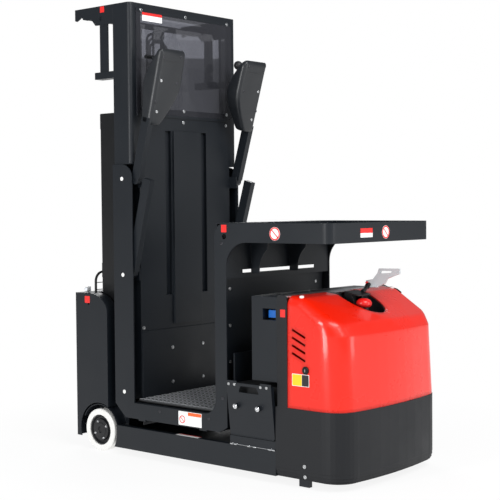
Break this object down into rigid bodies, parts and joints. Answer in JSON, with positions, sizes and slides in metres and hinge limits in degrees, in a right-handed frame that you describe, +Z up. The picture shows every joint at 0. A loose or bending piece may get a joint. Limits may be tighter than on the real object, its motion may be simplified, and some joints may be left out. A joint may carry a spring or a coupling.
{
  "type": "order picker truck",
  "caption": "compact low and medium level order picker truck with a rising stand-on platform, load tray, folding control arms, telescopic mast and closed nose",
  "frame": {"origin": "on the floor, under the middle of the truck's length and width", "axes": "X along the truck towards the nose, Y towards the operator's left, Z up"},
  "size_m": [1.6, 0.8016, 2.1],
  "materials": {
    "powder_coat": "satin dark grey powder coat",
    "mast_paint": "semi gloss black grey paint",
    "black_steel": "satin black paint",
    "hood_paint": "glossy red orange paint",
    "grey_plastic": "fine grained",
    "red_plastic": "glossy",
    "handle_grey": "smooth",
    "blue_plastic": "smooth",
    "pod_plastic": "fine grained",
    "battery_black": "grained",
    "lamp_grey": "smooth",
    "bare_steel": "zinc plated",
    "rod_chrome": "polished",
    "white_tyre": "smooth non marking",
    "hub_black": "black painted",
    "caster_rubber": "smooth",
    "mat_rubber": "ribbed",
    "clear_window": "clear sheet"
  },
  "bodies": {
    "chassis": {"chassis_frame": "powder_coat", "front_skirt": "powder_coat", "hood": "hood_paint", "hood_liner": "grey_plastic", "stop_button": "red_plastic", "button_guard": "black_steel", "release_handle": "handle_grey", "deck_plate": "bare_steel", "battery": "battery_black", "control_box": "powder_coat", "power_plug": "blue_plastic", "outer_mast": "mast_paint", "lift_cylinder": "black_steel", "rear_cover": "powder_coat", "mesh_guard": "black_steel", "rear_lamp": "lamp_grey"},
    "drive_wheel_left": {"drive_tyre_left": "white_tyre", "drive_hub_left": "hub_black"},
    "drive_wheel_right": {"drive_tyre_right": "white_tyre", "drive_hub_right": "hub_black"},
    "caster_left": {"caster_fork_left": "bare_steel"},
    "caster_right": {"caster_fork_right": "bare_steel"},
    "caster_roller_left": {"caster_wheel_left": "caster_rubber"},
    "caster_roller_right": {"caster_wheel_right": "caster_rubber"},
    "door_left": {"battery_door_left": "powder_coat"},
    "door_right": {"battery_door_right": "powder_coat"},
    "mast_middle": {"middle_mast": "mast_paint", "lift_rod": "rod_chrome"},
    "mast_inner": {"inner_mast": "mast_paint"},
    "platform": {"platform_floor": "powder_coat", "floor_mat": "mat_rubber", "side_plate_left": "powder_coat", "side_plate_right": "powder_coat", "back_panel": "powder_coat", "window": "clear_window", "top_bracket": "powder_coat", "front_wall": "powder_coat", "tray": "powder_coat"},
    "control_arm_left": {"arm_left": "powder_coat", "pod_left": "pod_plastic", "steer_disc": "pod_plastic"},
    "control_arm_right": {"arm_right": "powder_coat", "pod_right": "pod_plastic", "hand_lever": "bare_steel"},
    "side_rail_left": {"guard_left": "powder_coat"},
    "side_rail_right": {"guard_right": "powder_coat"}
  },
  "joints": [
    {"name": "drive_spin_left", "type": "hinge", "parent": "chassis", "child": "drive_wheel_left", "pos_m": [-0.645, 0.344, 0.1], "axis": [0, 1, 0], "continuous": true},
    {"name": "caster_swivel_left", "type": "hinge", "parent": "chassis", "child": "caster_left", "pos_m": [0.597, 0.232, 0.13], "axis": [0, 0, 1], "continuous": true},
    {"name": "caster_spin_left", "type": "hinge", "parent": "caster_left", "child": "caster_roller_left", "pos_m": [0.563, 0.232, 0.0625], "axis": [0, 1, 0], "continuous": true},
    {"name": "door_hinge_left", "type": "hinge", "parent": "chassis", "child": "door_left", "pos_m": [0.304, 0.367, 0.181], "axis": [-1, 0, 0], "range_deg": [-6.5, 84]},
    {"name": "drive_spin_right", "type": "hinge", "parent": "chassis", "child": "drive_wheel_right", "pos_m": [-0.645, -0.344, 0.1], "axis": [0, 1, 0], "continuous": true},
    {"name": "caster_swivel_right", "type": "hinge", "parent": "chassis", "child": "caster_right", "pos_m": [0.597, -0.232, 0.13], "axis": [0, 0, 1], "continuous": true},
    {"name": "caster_spin_right", "type": "hinge", "parent": "caster_right", "child": "caster_roller_right", "pos_m": [0.563, -0.232, 0.0625], "axis": [0, 1, 0], "continuous": true},
    {"name": "door_hinge_right", "type": "hinge", "parent": "chassis", "child": "door_right", "pos_m": [0.304, -0.367, 0.181], "axis": [1, 0, 0], "range_deg": [-6.5, 84]},
    {"name": "mast_lift", "type": "slide", "parent": "chassis", "child": "mast_middle", "axis": [0, 0, 1], "range_m": [0, 1]},
    {"name": "mast_extend", "type": "slide", "parent": "mast_middle", "child": "mast_inner", "axis": [0, 0, 1], "range_m": [0, 1]},
    {"name": "platform_lift", "type": "slide", "parent": "mast_inner", "child": "platform", "axis": [0, 0, 1], "range_m": [0, 1]},
    {"name": "arm_hinge_left", "type": "hinge", "parent": "platform", "child": "control_arm_left", "pos_m": [-0.395, 0.348, 1.283], "axis": [0, 1, 0], "range_deg": [0, 73.5]},
    {"name": "rail_hinge_left", "type": "hinge", "parent": "platform", "child": "side_rail_left", "pos_m": [-0.433, 0.348, 0.852], "axis": [0, 1, 0], "range_deg": [0, 73.5]},
    {"name": "arm_hinge_right", "type": "hinge", "parent": "platform", "child": "control_arm_right", "pos_m": [-0.395, -0.348, 1.283], "axis": [0, 1, 0], "range_deg": [0, 75.5]},
    {"name": "rail_hinge_right", "type": "hinge", "parent": "platform", "child": "side_rail_right", "pos_m": [-0.433, -0.348, 0.852], "axis": [0, 1, 0], "range_deg": [0, 75.5]}
  ],
  "couplings": [
    {"joint": "mast_extend", "follows": "mast_lift", "ratio": 1},
    {"joint": "platform_lift", "follows": "mast_lift", "ratio": 1},
    {"joint": "rail_hinge_left", "follows": "arm_hinge_left", "ratio": 1},
    {"joint": "rail_hinge_right", "follows": "arm_hinge_right", "ratio": 1}
  ]
}
